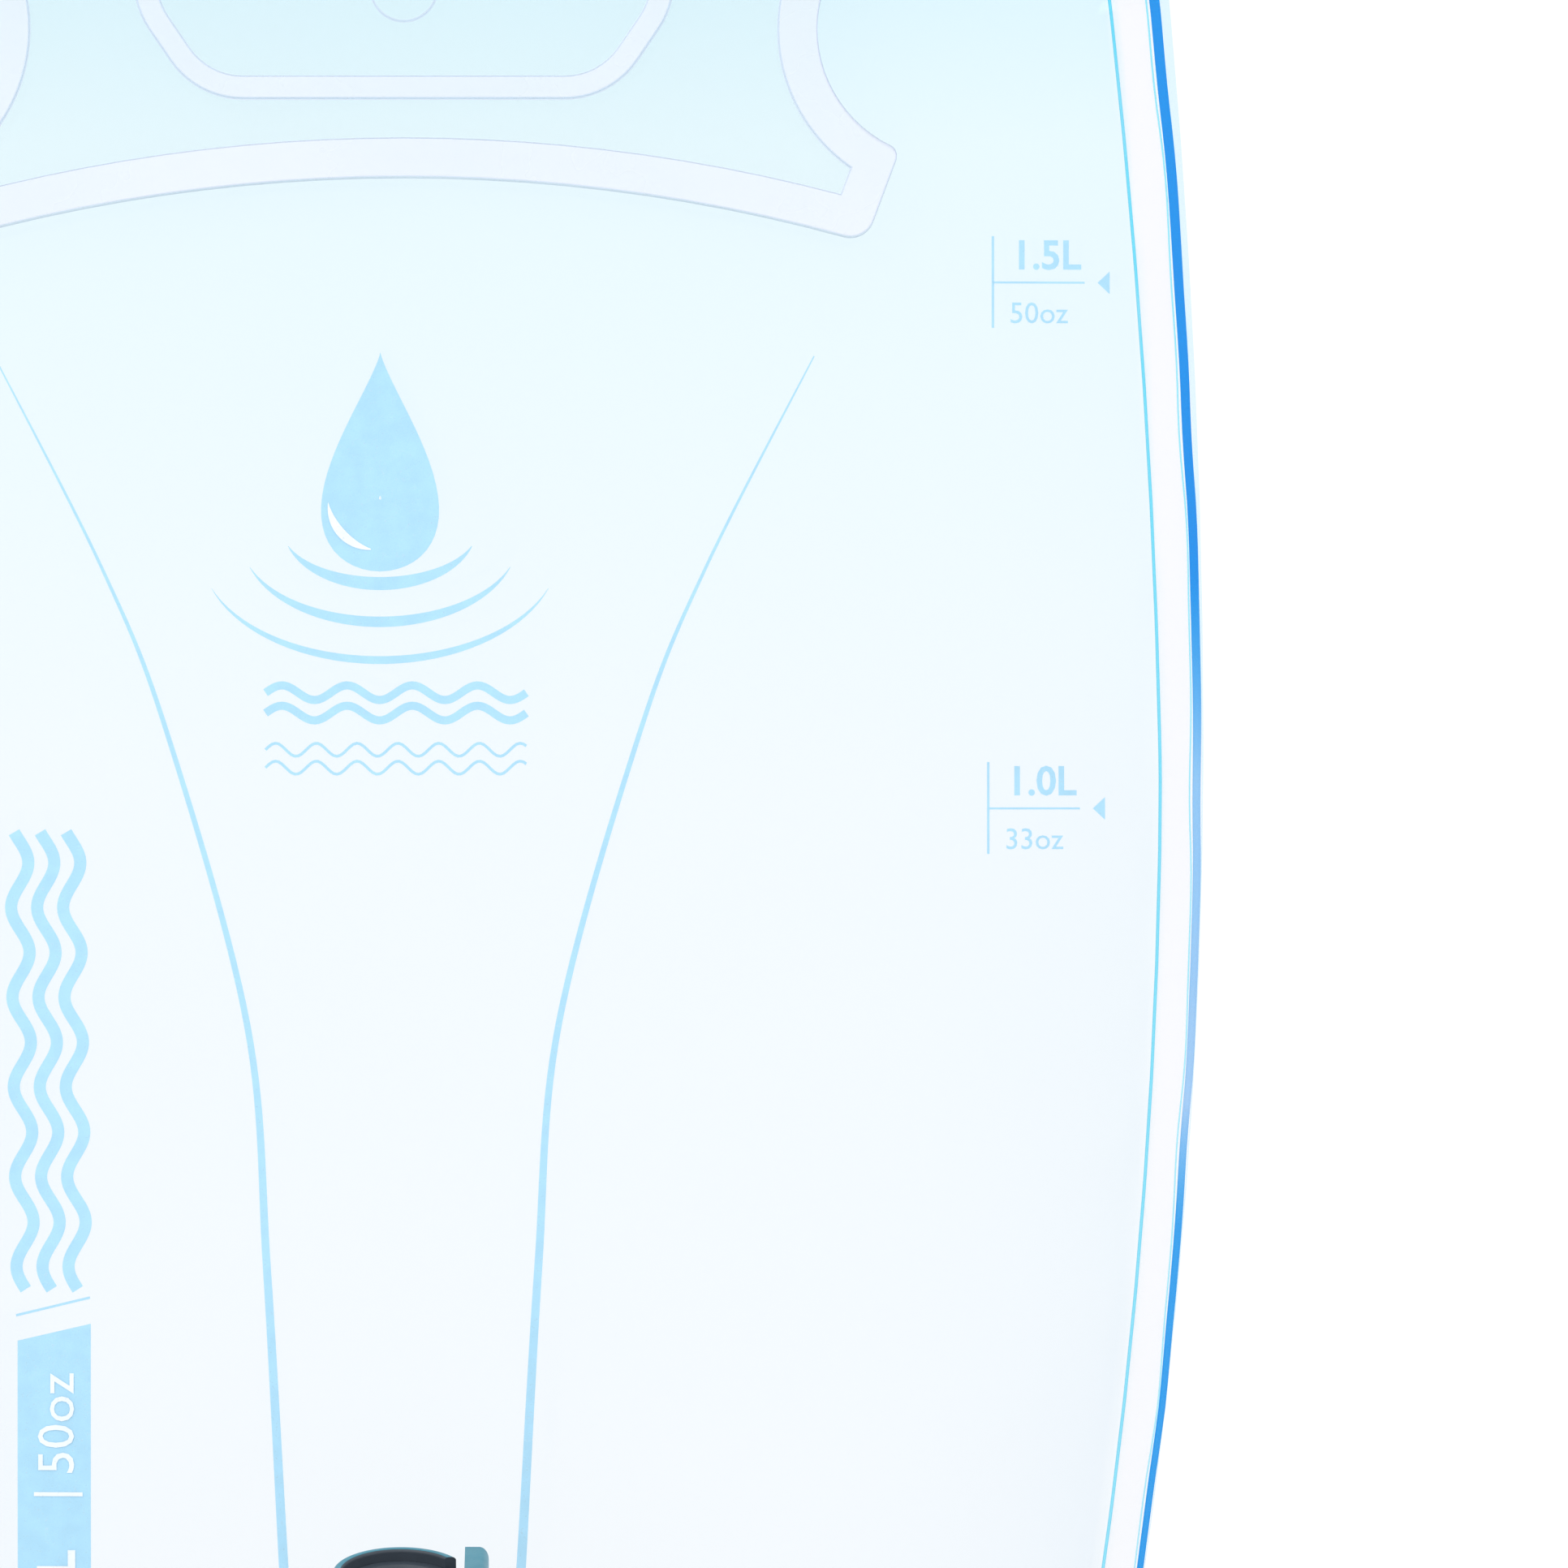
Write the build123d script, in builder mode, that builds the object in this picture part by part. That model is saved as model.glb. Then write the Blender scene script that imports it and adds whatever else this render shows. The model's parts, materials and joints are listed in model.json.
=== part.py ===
"""Hydration bladder: a clear film reservoir that hangs from its slide-on top closure.

Millimetres, +Z up, +X to the wearer's right, -Y towards the front.
The origin is the centre of the hang hole at the top of the slider.
"""
import os
from math import cos, radians, sin, sqrt

from build123d import *

os.makedirs("parts", exist_ok=True)

# Driving dimensions of the film bag
BAG_WIDTH = 196.8
FILM = 0.5
WIDEST_Z = -126
BOTTOM_Z = -290
UPPER_EDGE_RADIUS = 1000
LOWER_EDGE_RADIUS = 710
BOTTOM_CORNER = 36
WELD_WIDTH = 5.5
FRONT_BULGE_TOP = 9
FRONT_BULGE_BOTTOM = 52
BACK_BULGE_SHARE = 0.8

# Top closure: a rail wrapped in both films, held in a slotted slider
RAIL_Z = -13.4
RAIL_RADIUS = 2.2
WRAP_GAP = 0.05
NECK_GAP = 0.2
NECK_Z = -21
LIP_END_Z = -33
LIP_LEAN = 4.5
SLIDER_HALF_LENGTH = 95
SLIDER_WALL = 2.4
RUNNING_GAP = 0.3
HANG_HOLE_RADIUS = 4
HANG_TAB_RADIUS = 7
HANG_TAB_THICKNESS = 4

# Grip plate on the front of the slider
GRIP_TILT = 3.5
GRIP_TOP_Z = -8.5
GRIP_WEB = 1.5
GRIP_RIM_HEIGHT = 3
GRIP_RIM_WIDTH = 4.8

# Port, elbow and hose socket
PORT_Z = -251.6
PORT_TILT = 20
PORT_RAISE = 2.6
PATCH_RADIUS = 19.5
FILM_HOLE_RADIUS = 12.5
FLANGE_RADIUS = 18.5
FLANGE_THICKNESS = 1.6
SPIGOT_RADIUS = 7.4
SPIGOT_BORE = 4.6
SPIGOT_DEPTH = 4.4
COLLAR_HEIGHT = 4.5
ELBOW_HEIGHT = 13
SOCKET_RADIUS = 8.2
SHELL_BORE = 7.1
LINER_RADIUS = 7
LINER_BORE = 4.7
VALVE_BORE = 6.5
STEM_RADIUS = 1.5
BUTTON_TRAVEL = 1.4

# Places along the socket, from the elbow's corner to the mouth
RETAINER_FOOT = 4.7
RETAINER_TOP = 5.7
DISC_FOOT = 13
DISC_TOP = 14.8
SHELL_FOOT = 14
SEAT_FOOT = 15.5
SEAT_TOP = 17.3
BUTTON_SLOT_FOOT = 19
BUTTON_FOOT = 19.6
RING_GROOVE_FOOT = 19.8
BUTTON_SPRING_AT = 21.9
LATCH_FOOT = 24
LATCH_THICKNESS = 1.2
LINER_TOP = 30.2
SOCKET_LENGTH = 31.7

# Worked out from the dimensions above
SEAM_Y = -(FILM + NECK_GAP / 2)
CHAMBER_MIDDLE = (NECK_Z + BOTTOM_Z + WELD_WIDTH) / 2
CHAMBER_HALF_HEIGHT = (NECK_Z - BOTTOM_Z - WELD_WIDTH) / 2
WRAP_INNER = RAIL_RADIUS + WRAP_GAP
WRAP_OUTER = WRAP_INNER + 2 * FILM + WRAP_GAP
SLIDER_BORE = WRAP_OUTER + RUNNING_GAP
SLIDER_RADIUS = SLIDER_BORE + SLIDER_WALL
SLIDER_BOTTOM_Z = NECK_Z + 1.5
SLOT_HALF_WIDTH = 2 * FILM + NECK_GAP / 2 + 0.35
BASE = (Align.CENTER, Align.CENTER, Align.MIN)


def edge_half_width(z):
    """Half the width of the bag at height z, to its cut edge."""
    radius = UPPER_EDGE_RADIUS if z > WIDEST_Z else LOWER_EDGE_RADIUS
    return BAG_WIDTH / 2 - (z - WIDEST_Z) ** 2 / (2 * radius)


def front_depth(x, z):
    """How far the filled front film stands out from the seam at one place."""
    down = min(max((NECK_Z - z) / (2 * CHAMBER_HALF_HEIGHT), 0), 1)
    corner = 0.01 + 0.07 * down**2
    half_width = (edge_half_width(z) - WELD_WIDTH) / (1 - corner / 4)
    across = 1 - (x / half_width) ** 2
    along = 1 - ((z - CHAMBER_MIDDLE) / CHAMBER_HALF_HEIGHT) ** 2
    fullness = across + along - sqrt(across**2 + along**2 + corner)
    bulge = FRONT_BULGE_TOP + (FRONT_BULGE_BOTTOM - FRONT_BULGE_TOP) * down**1.3
    return bulge * fullness


def bulge_space(side, share, skin):
    """Everything between the seam and one film, 'skin' mm out from its inside face."""
    rows = 31
    columns = 25
    points = []
    for row in range(rows):
        z = NECK_Z + 3 - (2 * CHAMBER_HALF_HEIGHT + 6) * row / (rows - 1)
        line = []
        for column in range(columns):
            x = (column / (columns - 1) - 0.5) * (BAG_WIDTH - 2)
            line.append(Vector(x, SEAM_Y + side * (share * front_depth(x, z) + skin), z))
        points.append(line)
    surface = Face.make_surface_from_array_of_points(points, tol=0.02, max_deg=3)
    with BuildPart() as space:
        with BuildSketch(Plane.XZ.offset(-SEAM_Y)):
            add(outline.sketch_local)
        extrude(amount=-side * 60)
        extrude(surface, amount=80, dir=(0, -side, 0), mode=Mode.INTERSECT)
    return space.part


def rod(plane, start, end, radius, mode=Mode.ADD):
    """A round length of the solid being built, along the normal of a plane."""
    with Locations(plane.offset(start)):
        Cylinder(radius, end - start, align=BASE, mode=mode)


def tube(plane, start, end, outer, inner):
    """A plain ring or sleeve along the normal of a plane."""
    rod(plane, start, end, outer)
    rod(plane, start, end, inner, Mode.SUBTRACT)


TOP_HALF_WIDTH = edge_half_width(NECK_Z)

# The port stands on the front film, square to it, and its socket points up along the film
port_y = SEAM_Y - FILM - front_depth(0, PORT_Z) - PORT_RAISE
port_normal = Vector(0, -cos(radians(PORT_TILT)), -sin(radians(PORT_TILT)))
socket_axis = Vector(0, -sin(radians(PORT_TILT)), cos(radians(PORT_TILT)))
PORT = Plane(origin=(0, port_y, PORT_Z), x_dir=(1, 0, 0), z_dir=port_normal)
SOCKET = Plane(origin=PORT.offset(ELBOW_HEIGHT).origin, x_dir=(1, 0, 0), z_dir=socket_axis)

# Outline of both films, seen from the front
with BuildSketch(Plane.XZ) as outline:
    with BuildLine():
        top_corner = (TOP_HALF_WIDTH, NECK_Z)
        widest = (BAG_WIDTH / 2, WIDEST_Z)
        bottom_corner = (edge_half_width(BOTTOM_Z), BOTTOM_Z)
        upper_middle = (NECK_Z + WIDEST_Z) / 2
        lower_middle = (BOTTOM_Z + WIDEST_Z) / 2
        Line((0, NECK_Z), top_corner)
        ThreePointArc(top_corner, (edge_half_width(upper_middle), upper_middle), widest)
        ThreePointArc(widest, (edge_half_width(lower_middle), lower_middle), bottom_corner)
        Line(bottom_corner, (0, BOTTOM_Z))
        mirror(about=Plane.YZ)
    make_face()
    bottom_row = outline.vertices().group_by(Axis.Y)[0]
    fillet(bottom_row.filter_by(lambda corner: abs(corner.X) > BOTTOM_CORNER), BOTTOM_CORNER)


def wrapped_section(inner, up_face, down_face):
    """Section of one film going up to the rail, round it, and down behind as the lip.

    'inner' is the radius of its inside face; the two faces are those nearest the rail's centre.
    """
    foot = RAIL_Z - inner - FILM / 4
    with BuildSketch(Plane.YZ) as section:
        with Locations((0, RAIL_Z)):
            Circle(inner + FILM)
            Circle(inner, mode=Mode.SUBTRACT)
        with BuildLine():
            Polyline(
                (up_face, RAIL_Z),
                (down_face, RAIL_Z),
                (down_face, foot - 2),
                (up_face, foot - 2),
                close=True,
            )
        make_face(mode=Mode.SUBTRACT)
        with BuildLine():
            Polyline(
                (up_face - FILM, foot),
                (up_face, foot),
                (up_face, NECK_Z - 2),
                (up_face - FILM, NECK_Z - 2),
                close=True,
            )
        make_face()
        with BuildLine():
            Polyline(
                (down_face, foot),
                (down_face + FILM, foot),
                (down_face + FILM, SLIDER_BOTTOM_Z - 1),
                (down_face + FILM + LIP_LEAN, LIP_END_Z),
                (down_face + LIP_LEAN, LIP_END_Z),
                (down_face, SLIDER_BOTTOM_Z - 1),
                close=True,
            )
        make_face()
    return section.sketch_local


# Front film: flat weld border, domed skin, flat patch under the port, wrap and lip
front_wrap = wrapped_section(WRAP_INNER + FILM + WRAP_GAP, SEAM_Y, -SEAM_Y)
front_skin_outside = bulge_space(-1, 1, FILM)
front_skin_inside = bulge_space(-1, 1, 0)
with BuildPart() as front_panel:
    with BuildSketch(Plane.XZ.offset(-SEAM_Y)):
        add(outline.sketch_local)
    extrude(amount=FILM)
    add(front_skin_outside)
    with Locations(PORT):
        Cone(PATCH_RADIUS + 20, PATCH_RADIUS, 20, align=(Align.CENTER, Align.CENTER, Align.MAX))
    with Locations((0, SEAM_Y, CHAMBER_MIDDLE)):
        Box(400, 60, 400, align=(Align.CENTER, Align.MIN, Align.CENTER), mode=Mode.SUBTRACT)
    add(front_skin_inside, mode=Mode.SUBTRACT)
    with Locations(PORT.offset(-FILM)):
        Cone(
            PATCH_RADIUS + 19.8,
            PATCH_RADIUS - 0.2,
            20,
            align=(Align.CENTER, Align.CENTER, Align.MAX),
            mode=Mode.SUBTRACT,
        )
    rod(PORT, -5, 5, FILM_HOLE_RADIUS, Mode.SUBTRACT)
    with BuildSketch(Plane.YZ):
        add(front_wrap)
    extrude(amount=TOP_HALF_WIDTH, both=True)
front_panel.part.label = "front_panel"
export_step(front_panel.part, "parts/front_panel.step")

# Back film: the same, flatter, and inside the front film where they wrap the rail
back_wrap = wrapped_section(WRAP_INNER, SEAM_Y + FILM, -SEAM_Y - FILM)
back_skin_outside = bulge_space(1, BACK_BULGE_SHARE, FILM)
back_skin_inside = bulge_space(1, BACK_BULGE_SHARE, 0)
with BuildPart() as back_panel:
    with BuildSketch(Plane.XZ.offset(-SEAM_Y)):
        add(outline.sketch_local)
    extrude(amount=-FILM)
    add(back_skin_outside)
    add(back_skin_inside, mode=Mode.SUBTRACT)
    with BuildSketch(Plane.YZ):
        add(back_wrap)
    extrude(amount=TOP_HALF_WIDTH, both=True)
back_panel.part.label = "back_panel"
export_step(back_panel.part, "parts/back_panel.step")

# Stiff rod in the fold of the films
with BuildPart() as closure_rail:
    with BuildSketch(Plane.YZ):
        with Locations((0, RAIL_Z)):
            Circle(RAIL_RADIUS)
    extrude(amount=TOP_HALF_WIDTH, both=True)
    chamfer(closure_rail.edges().filter_by(GeomType.CIRCLE), 0.5)
closure_rail.part.label = "closure_rail"
export_step(closure_rail.part, "parts/closure_rail.step")

# Slider: a slotted tube with a hang tab on its top
with BuildPart() as slider_channel:
    with BuildSketch(Plane.YZ):
        with Locations((0, RAIL_Z)):
            Circle(SLIDER_RADIUS)
        with Locations((0, RAIL_Z)):
            Rectangle(
                2 * SLIDER_RADIUS,
                RAIL_Z - SLIDER_BOTTOM_Z,
                align=(Align.CENTER, Align.MAX),
            )
    extrude(amount=SLIDER_HALF_LENGTH, both=True)
    with BuildSketch(Plane.XZ.offset(-HANG_TAB_THICKNESS / 2)):
        Circle(HANG_TAB_RADIUS)
        with BuildLine():
            Polyline((-7, 0), (7, 0), (16, RAIL_Z + 4.5), (-16, RAIL_Z + 4.5), close=True)
        make_face()
    extrude(amount=HANG_TAB_THICKNESS)
    fillet(slider_channel.edges().group_by(Axis.Z)[0].filter_by(Axis.X), 1)
    tab_rim = slider_channel.edges().filter_by(
        lambda edge: edge.center().Z > 1 and edge.geom_type == GeomType.CIRCLE
    )
    fillet(tab_rim, 0.8)
    with BuildSketch(Plane.YZ):
        with Locations((0, RAIL_Z)):
            Circle(SLIDER_BORE)
            Rectangle(2 * SLOT_HALF_WIDTH, 12, align=(Align.CENTER, Align.MAX))
    extrude(amount=SLIDER_HALF_LENGTH, both=True, mode=Mode.SUBTRACT)
    with BuildSketch(Plane.XZ):
        Circle(HANG_HOLE_RADIUS)
    extrude(amount=HANG_TAB_THICKNESS, both=True, mode=Mode.SUBTRACT)
slider_channel.part.label = "slider_channel"
export_step(slider_channel.part, "parts/slider_channel.step")

# End cap: closes one end of the slider and stops the rail there
with BuildPart() as slider_end_cap:
    with BuildSketch(Plane.YZ.offset(SLIDER_HALF_LENGTH)):
        with Locations((0, RAIL_Z)):
            Circle(SLIDER_RADIUS)
            Rectangle(
                2 * SLIDER_RADIUS,
                RAIL_Z - SLIDER_BOTTOM_Z,
                align=(Align.CENTER, Align.MAX),
            )
    extrude(amount=2.5)
    fillet(slider_end_cap.faces().sort_by(Axis.X)[-1].edges(), 1)
    rod(
        Plane(origin=(0, 0, RAIL_Z), z_dir=(1, 0, 0)),
        TOP_HALF_WIDTH + 0.2,
        SLIDER_HALF_LENGTH,
        SLIDER_BORE - 0.05,
    )
slider_end_cap.part.label = "slider_end_cap"
export_step(slider_end_cap.part, "parts/slider_end_cap.step")

# Grip plate: a thin web with a raised rim, finger notches and a framed panel
GRIP = Plane(
    origin=(0, -SLIDER_RADIUS, SLIDER_BOTTOM_Z),
    x_dir=(1, 0, 0),
    z_dir=(0, -cos(radians(GRIP_TILT)), sin(radians(GRIP_TILT))),
)


def down_plate(z):
    """Place on the grip plate, up from its bend, for a height z."""
    return (z - SLIDER_BOTTOM_Z) / cos(radians(GRIP_TILT))


crown = down_plate(-56.2)
foot = down_plate(-64.2)
notch = down_plate(-38)
with BuildSketch(GRIP) as grip_outline:
    with BuildLine():
        ThreePointArc((-56.7, foot), (0, crown), (56.7, foot))
        Polyline((56.7, foot), (62.5, foot + 15.6), (71, notch + 12), (71, 0))
        Line((71, 0), (-71, 0))
        Polyline((-71, 0), (-71, notch + 12), (-62.5, foot + 15.6), (-56.7, foot))
    make_face()
    with Locations((-66.8, notch), (66.8, notch)):
        Circle(16, mode=Mode.SUBTRACT)
    corners = grip_outline.vertices().filter_by(lambda corner: corner.Y < foot + 1)
    fillet(corners, 3)
    tips = grip_outline.vertices().filter_by(lambda corner: foot + 8 < corner.Y < notch - 8)
    fillet(tips, 1.4)
with BuildSketch(GRIP) as grip_window:
    with BuildLine():
        Polyline(
            (-24, down_plate(-43.8)),
            (24, down_plate(-43.8)),
            (37.5, down_plate(-24)),
            (-37.5, down_plate(-24)),
            close=True,
        )
    make_face()
    fillet(grip_window.vertices().group_by(Axis.Z)[0], 8)
    fillet(grip_window.vertices().group_by(Axis.Z)[-1], 3)
with BuildPart() as grip_plate:
    with BuildSketch(GRIP):
        add(grip_outline.sketch_local)
    extrude(amount=GRIP_WEB)
    with BuildSketch(GRIP):
        add(grip_outline.sketch_local)
        offset(amount=-GRIP_RIM_WIDTH, kind=Kind.INTERSECTION, mode=Mode.SUBTRACT)
    extrude(amount=GRIP_RIM_HEIGHT)
    with BuildSketch(GRIP):
        add(grip_window.sketch_local)
        offset(amount=2.7)
        add(grip_window.sketch_local, mode=Mode.SUBTRACT)
    extrude(amount=GRIP_RIM_HEIGHT - 0.4)
    with BuildSketch(Plane.XZ.offset(SLIDER_RADIUS)):
        with Locations((0, SLIDER_BOTTOM_Z)):
            Rectangle(
                142,
                GRIP_TOP_Z - SLIDER_BOTTOM_Z,
                align=(Align.CENTER, Align.MIN),
            )
    extrude(amount=GRIP_RIM_HEIGHT)
    with BuildSketch(GRIP.offset(GRIP_WEB)):
        with BuildLine():
            Polyline((0, down_plate(-25.6)), (-3.6, down_plate(-31)), close=False)
            ThreePointArc(
                (-3.6, down_plate(-31)),
                (0, down_plate(-37)),
                (3.6, down_plate(-31)),
            )
            Line((3.6, down_plate(-31)), (0, down_plate(-25.6)))
        make_face()
    extrude(amount=0.5)
grip_plate.part.label = "grip_plate"
export_step(grip_plate.part, "parts/grip_plate.step")

# Port flange: welded to the film, with the bearing the elbow turns in
with BuildPart() as port_flange:
    rod(PORT, 0, FLANGE_THICKNESS, FLANGE_RADIUS)
    fillet(port_flange.faces().sort_by(SortBy.AREA)[-1].edges(), 0.7)
    rod(PORT, -3, COLLAR_HEIGHT, SPIGOT_RADIUS + 1.3)
    rod(PORT, 1, COLLAR_HEIGHT, SPIGOT_RADIUS + 3)
    rod(PORT, -3, COLLAR_HEIGHT, SPIGOT_RADIUS + 0.08, Mode.SUBTRACT)
port_flange.part.label = "port_flange"
export_step(port_flange.part, "parts/port_flange.step")

# Elbow: a spigot in the flange and the lower half of the hose socket
with BuildPart() as elbow_body:
    rod(SOCKET, -9, SHELL_FOOT, SOCKET_RADIUS)
    fillet(elbow_body.edges().group_by(SortBy.LENGTH)[-1].sort_by(Axis.Z)[0], 5)
    rod(SOCKET, SHELL_FOOT, SEAT_TOP, SHELL_BORE - 0.05)
    rod(PORT, -SPIGOT_DEPTH, ELBOW_HEIGHT, SPIGOT_RADIUS)
    rod(PORT, COLLAR_HEIGHT + 0.4, ELBOW_HEIGHT, SPIGOT_RADIUS + 2)
    rod(PORT, -SPIGOT_DEPTH, ELBOW_HEIGHT, SPIGOT_BORE, Mode.SUBTRACT)
    rod(SOCKET, -5, RETAINER_FOOT, SPIGOT_BORE, Mode.SUBTRACT)
    rod(SOCKET, RETAINER_FOOT, SEAT_TOP, VALVE_BORE, Mode.SUBTRACT)
    for start, end, groove_radius in ((-0.5, 1.5, 5.8), (-4, -3.2, 6.7)):
        with BuildSketch(PORT.offset(start)):
            Circle(SPIGOT_RADIUS + 0.5)
            Circle(groove_radius, mode=Mode.SUBTRACT)
        extrude(amount=end - start, mode=Mode.SUBTRACT)
elbow_body.part.label = "elbow_body"
export_step(elbow_body.part, "parts/elbow_body.step")


def coil(plane, height, turns, radius, wire):
    """A compression spring standing on a plane."""
    with BuildPart() as spring:
        with BuildLine() as path:
            Helix(
                (height - 2 * wire) / turns,
                height - 2 * wire,
                radius,
                center=plane.offset(wire).origin,
                direction=plane.z_dir,
            )
        with BuildSketch(Plane(origin=path.line @ 0, z_dir=path.line % 0)):
            Circle(wire)
        sweep(is_frenet=True)
    return spring.part


# O-ring between the spigot and the flange
with BuildPart() as spigot_o_ring:
    with Locations(PORT.offset(0.5)):
        Torus(6.64, 0.8)
spigot_o_ring.part.label = "spigot_o_ring"
export_step(spigot_o_ring.part, "parts/spigot_o_ring.step")

# Snap ring that keeps the spigot in the flange
with BuildPart() as snap_ring:
    tube(PORT, -3.95, -3.3, 8.2, 6.75)
    with Locations(PORT.offset(-4)):
        with Locations((0, -7.5)):
            Box(3, 4, 3, mode=Mode.SUBTRACT)
snap_ring.part.label = "snap_ring"
export_step(snap_ring.part, "parts/snap_ring.step")

# Retainer: a spider that carries the valve spring and guides the stem
with BuildPart() as spring_retainer:
    tube(SOCKET, RETAINER_FOOT, RETAINER_TOP, VALVE_BORE - 0.05, 5.2)
    with Locations(SOCKET.offset(RETAINER_FOOT)):
        with PolarLocations(0, 3):
            Box(10.8, 1.8, RETAINER_TOP - RETAINER_FOOT, align=BASE)
    rod(SOCKET, RETAINER_FOOT, RETAINER_TOP, 2.4)
    rod(SOCKET, RETAINER_FOOT, RETAINER_TOP, STEM_RADIUS + 0.06, Mode.SUBTRACT)
spring_retainer.part.label = "spring_retainer"
export_step(spring_retainer.part, "parts/spring_retainer.step")

# Valve spring
valve_coil = coil(SOCKET.offset(RETAINER_TOP + 0.02), height=7.2, turns=4, radius=3, wire=0.3)
with BuildPart() as valve_spring:
    add(valve_coil)
valve_spring.part.label = "valve_spring"
export_step(valve_spring.part, "parts/valve_spring.step")

# Poppet: disc, guide stem below and the nose that a hose plug pushes
with BuildPart() as poppet:
    rod(SOCKET, DISC_FOOT, DISC_TOP, 5)
    rod(SOCKET, RETAINER_FOOT - 1.3, DISC_FOOT, STEM_RADIUS)
    rod(SOCKET, DISC_TOP, SEAT_TOP + 2, STEM_RADIUS)
    fillet(poppet.faces().sort_by(Axis.Z)[-1].edges(), 0.6)
poppet.part.label = "poppet"
export_step(poppet.part, "parts/poppet.step")

# Rubber washer on the poppet
with BuildPart() as poppet_seal:
    tube(SOCKET, DISC_TOP, SEAT_FOOT, 4.9, STEM_RADIUS)
poppet_seal.part.label = "poppet_seal"
export_step(poppet_seal.part, "parts/poppet_seal.step")

# Valve seat: the ring that the poppet closes against
with BuildPart() as valve_seat:
    tube(SOCKET, SEAT_FOOT, SEAT_TOP, VALVE_BORE - 0.05, 3.4)
valve_seat.part.label = "valve_seat"
export_step(valve_seat.part, "parts/valve_seat.step")

# Liner: the bore the hose plug goes into, slotted for the latch plate
with BuildPart() as socket_liner:
    tube(SOCKET, SEAT_TOP, LINER_TOP, LINER_RADIUS, LINER_BORE)
    mouth = socket_liner.faces().sort_by(Axis.Z)[-1]
    chamfer(mouth.edges().sort_by(SortBy.LENGTH)[0], 1.2)
    with BuildSketch(SOCKET.offset(RING_GROOVE_FOOT)):
        Circle(5.9)
        Circle(LINER_BORE - 1, mode=Mode.SUBTRACT)
    extrude(amount=1.7, mode=Mode.SUBTRACT)
    with BuildSketch(SOCKET.offset(LATCH_FOOT - 0.2)):
        Rectangle(15, 12.3)
    extrude(amount=LATCH_THICKNESS + 0.4, mode=Mode.SUBTRACT)
    with BuildSketch(SOCKET.offset(BUTTON_SLOT_FOOT)):
        with Locations((6.2, 0)):
            Rectangle(2, 9.6, align=(Align.MIN, Align.CENTER))
    extrude(amount=12, mode=Mode.SUBTRACT)
socket_liner.part.label = "socket_liner"
export_step(socket_liner.part, "parts/socket_liner.step")

# O-ring that seals the hose plug
with BuildPart() as socket_o_ring:
    with Locations(SOCKET.offset(RING_GROOVE_FOOT + 0.85)):
        Torus(5.12, 0.74)
socket_o_ring.part.label = "socket_o_ring"
export_step(socket_o_ring.part, "parts/socket_o_ring.step")

# Shell: the coloured sleeve round the socket, open at one side for the button
with BuildPart() as socket_shell:
    tube(SOCKET, SHELL_FOOT, SOCKET_LENGTH, SOCKET_RADIUS, SHELL_BORE)
    fillet(socket_shell.faces().sort_by(Axis.Z)[-1].edges(), 0.4)
    with BuildSketch(SOCKET.offset(BUTTON_SLOT_FOOT)):
        Rectangle(10, 9.2, align=(Align.MIN, Align.CENTER))
    extrude(amount=20, mode=Mode.SUBTRACT)
socket_shell.part.label = "socket_shell"
export_step(socket_shell.part, "parts/socket_shell.step")

# Release button: a rounded tab beside the mouth, with a pocket for its spring
BUTTON_FACE = LINER_RADIUS + 0.9
POCKET = Plane(
    origin=SOCKET.from_local_coords((BUTTON_FACE, 0, BUTTON_SPRING_AT)),
    x_dir=(0, 1, 0),
    z_dir=(1, 0, 0),
)
with BuildPart() as release_button:
    with BuildSketch(SOCKET.offset(BUTTON_FOOT)):
        with Locations((BUTTON_FACE, 0)):
            Rectangle(2.9, 8.4, align=(Align.MIN, Align.CENTER))
    extrude(amount=13.6)
    fillet(release_button.edges().group_by(Axis.X)[-1], 1.2)
    with BuildSketch(SOCKET.offset(LATCH_FOOT)):
        with Locations((BUTTON_FACE, 0)):
            Rectangle(0.5, 6.8, align=(Align.MIN, Align.CENTER))
    extrude(amount=LATCH_THICKNESS, mode=Mode.SUBTRACT)
    rod(POCKET, 0, 1.8, 1.7, Mode.SUBTRACT)
release_button.part.label = "release_button"
export_step(release_button.part, "parts/release_button.step")

# Latch plate: its hole stands off centre until the button is pressed
with BuildPart() as latch_plate:
    with BuildSketch(SOCKET.offset(LATCH_FOOT)):
        Circle(LINER_RADIUS - 0.05)
        with Locations((BUTTON_TRAVEL, 0)):
            Circle(LINER_RADIUS - 0.05, mode=Mode.INTERSECT)
        Rectangle(20, 12, mode=Mode.INTERSECT)
        with Locations((5, 0)):
            Rectangle(BUTTON_FACE + 0.5 - 5, 6.8, align=(Align.MIN, Align.CENTER))
        with Locations((BUTTON_TRAVEL, 0)):
            Circle(LINER_BORE, mode=Mode.SUBTRACT)
    extrude(amount=LATCH_THICKNESS)
latch_plate.part.label = "latch_plate"
export_step(latch_plate.part, "parts/latch_plate.step")

# Spring under the button, standing on the flat of the liner
BUTTON_SPRING = Plane(
    origin=SOCKET.from_local_coords((6.22, 0, BUTTON_SPRING_AT)),
    x_dir=(0, 1, 0),
    z_dir=(1, 0, 0),
)
button_coil = coil(BUTTON_SPRING, height=3.44, turns=3, radius=1.25, wire=0.2)
with BuildPart() as button_spring:
    add(button_coil)
button_spring.part.label = "button_spring"
export_step(button_spring.part, "parts/button_spring.step")
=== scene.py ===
"""Looks of the hydration bladder: clear films, weld border, prints, and finishes of the hard parts.

Metres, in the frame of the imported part: +Z up, -Y to the front.
"""
import json
from math import atan2, cos, exp, hypot, pi, radians, sin

import bmesh
import bpy
from mathutils import Matrix, Vector
from mathutils.bvhtree import BVHTree
from mathutils.kdtree import KDTree


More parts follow.
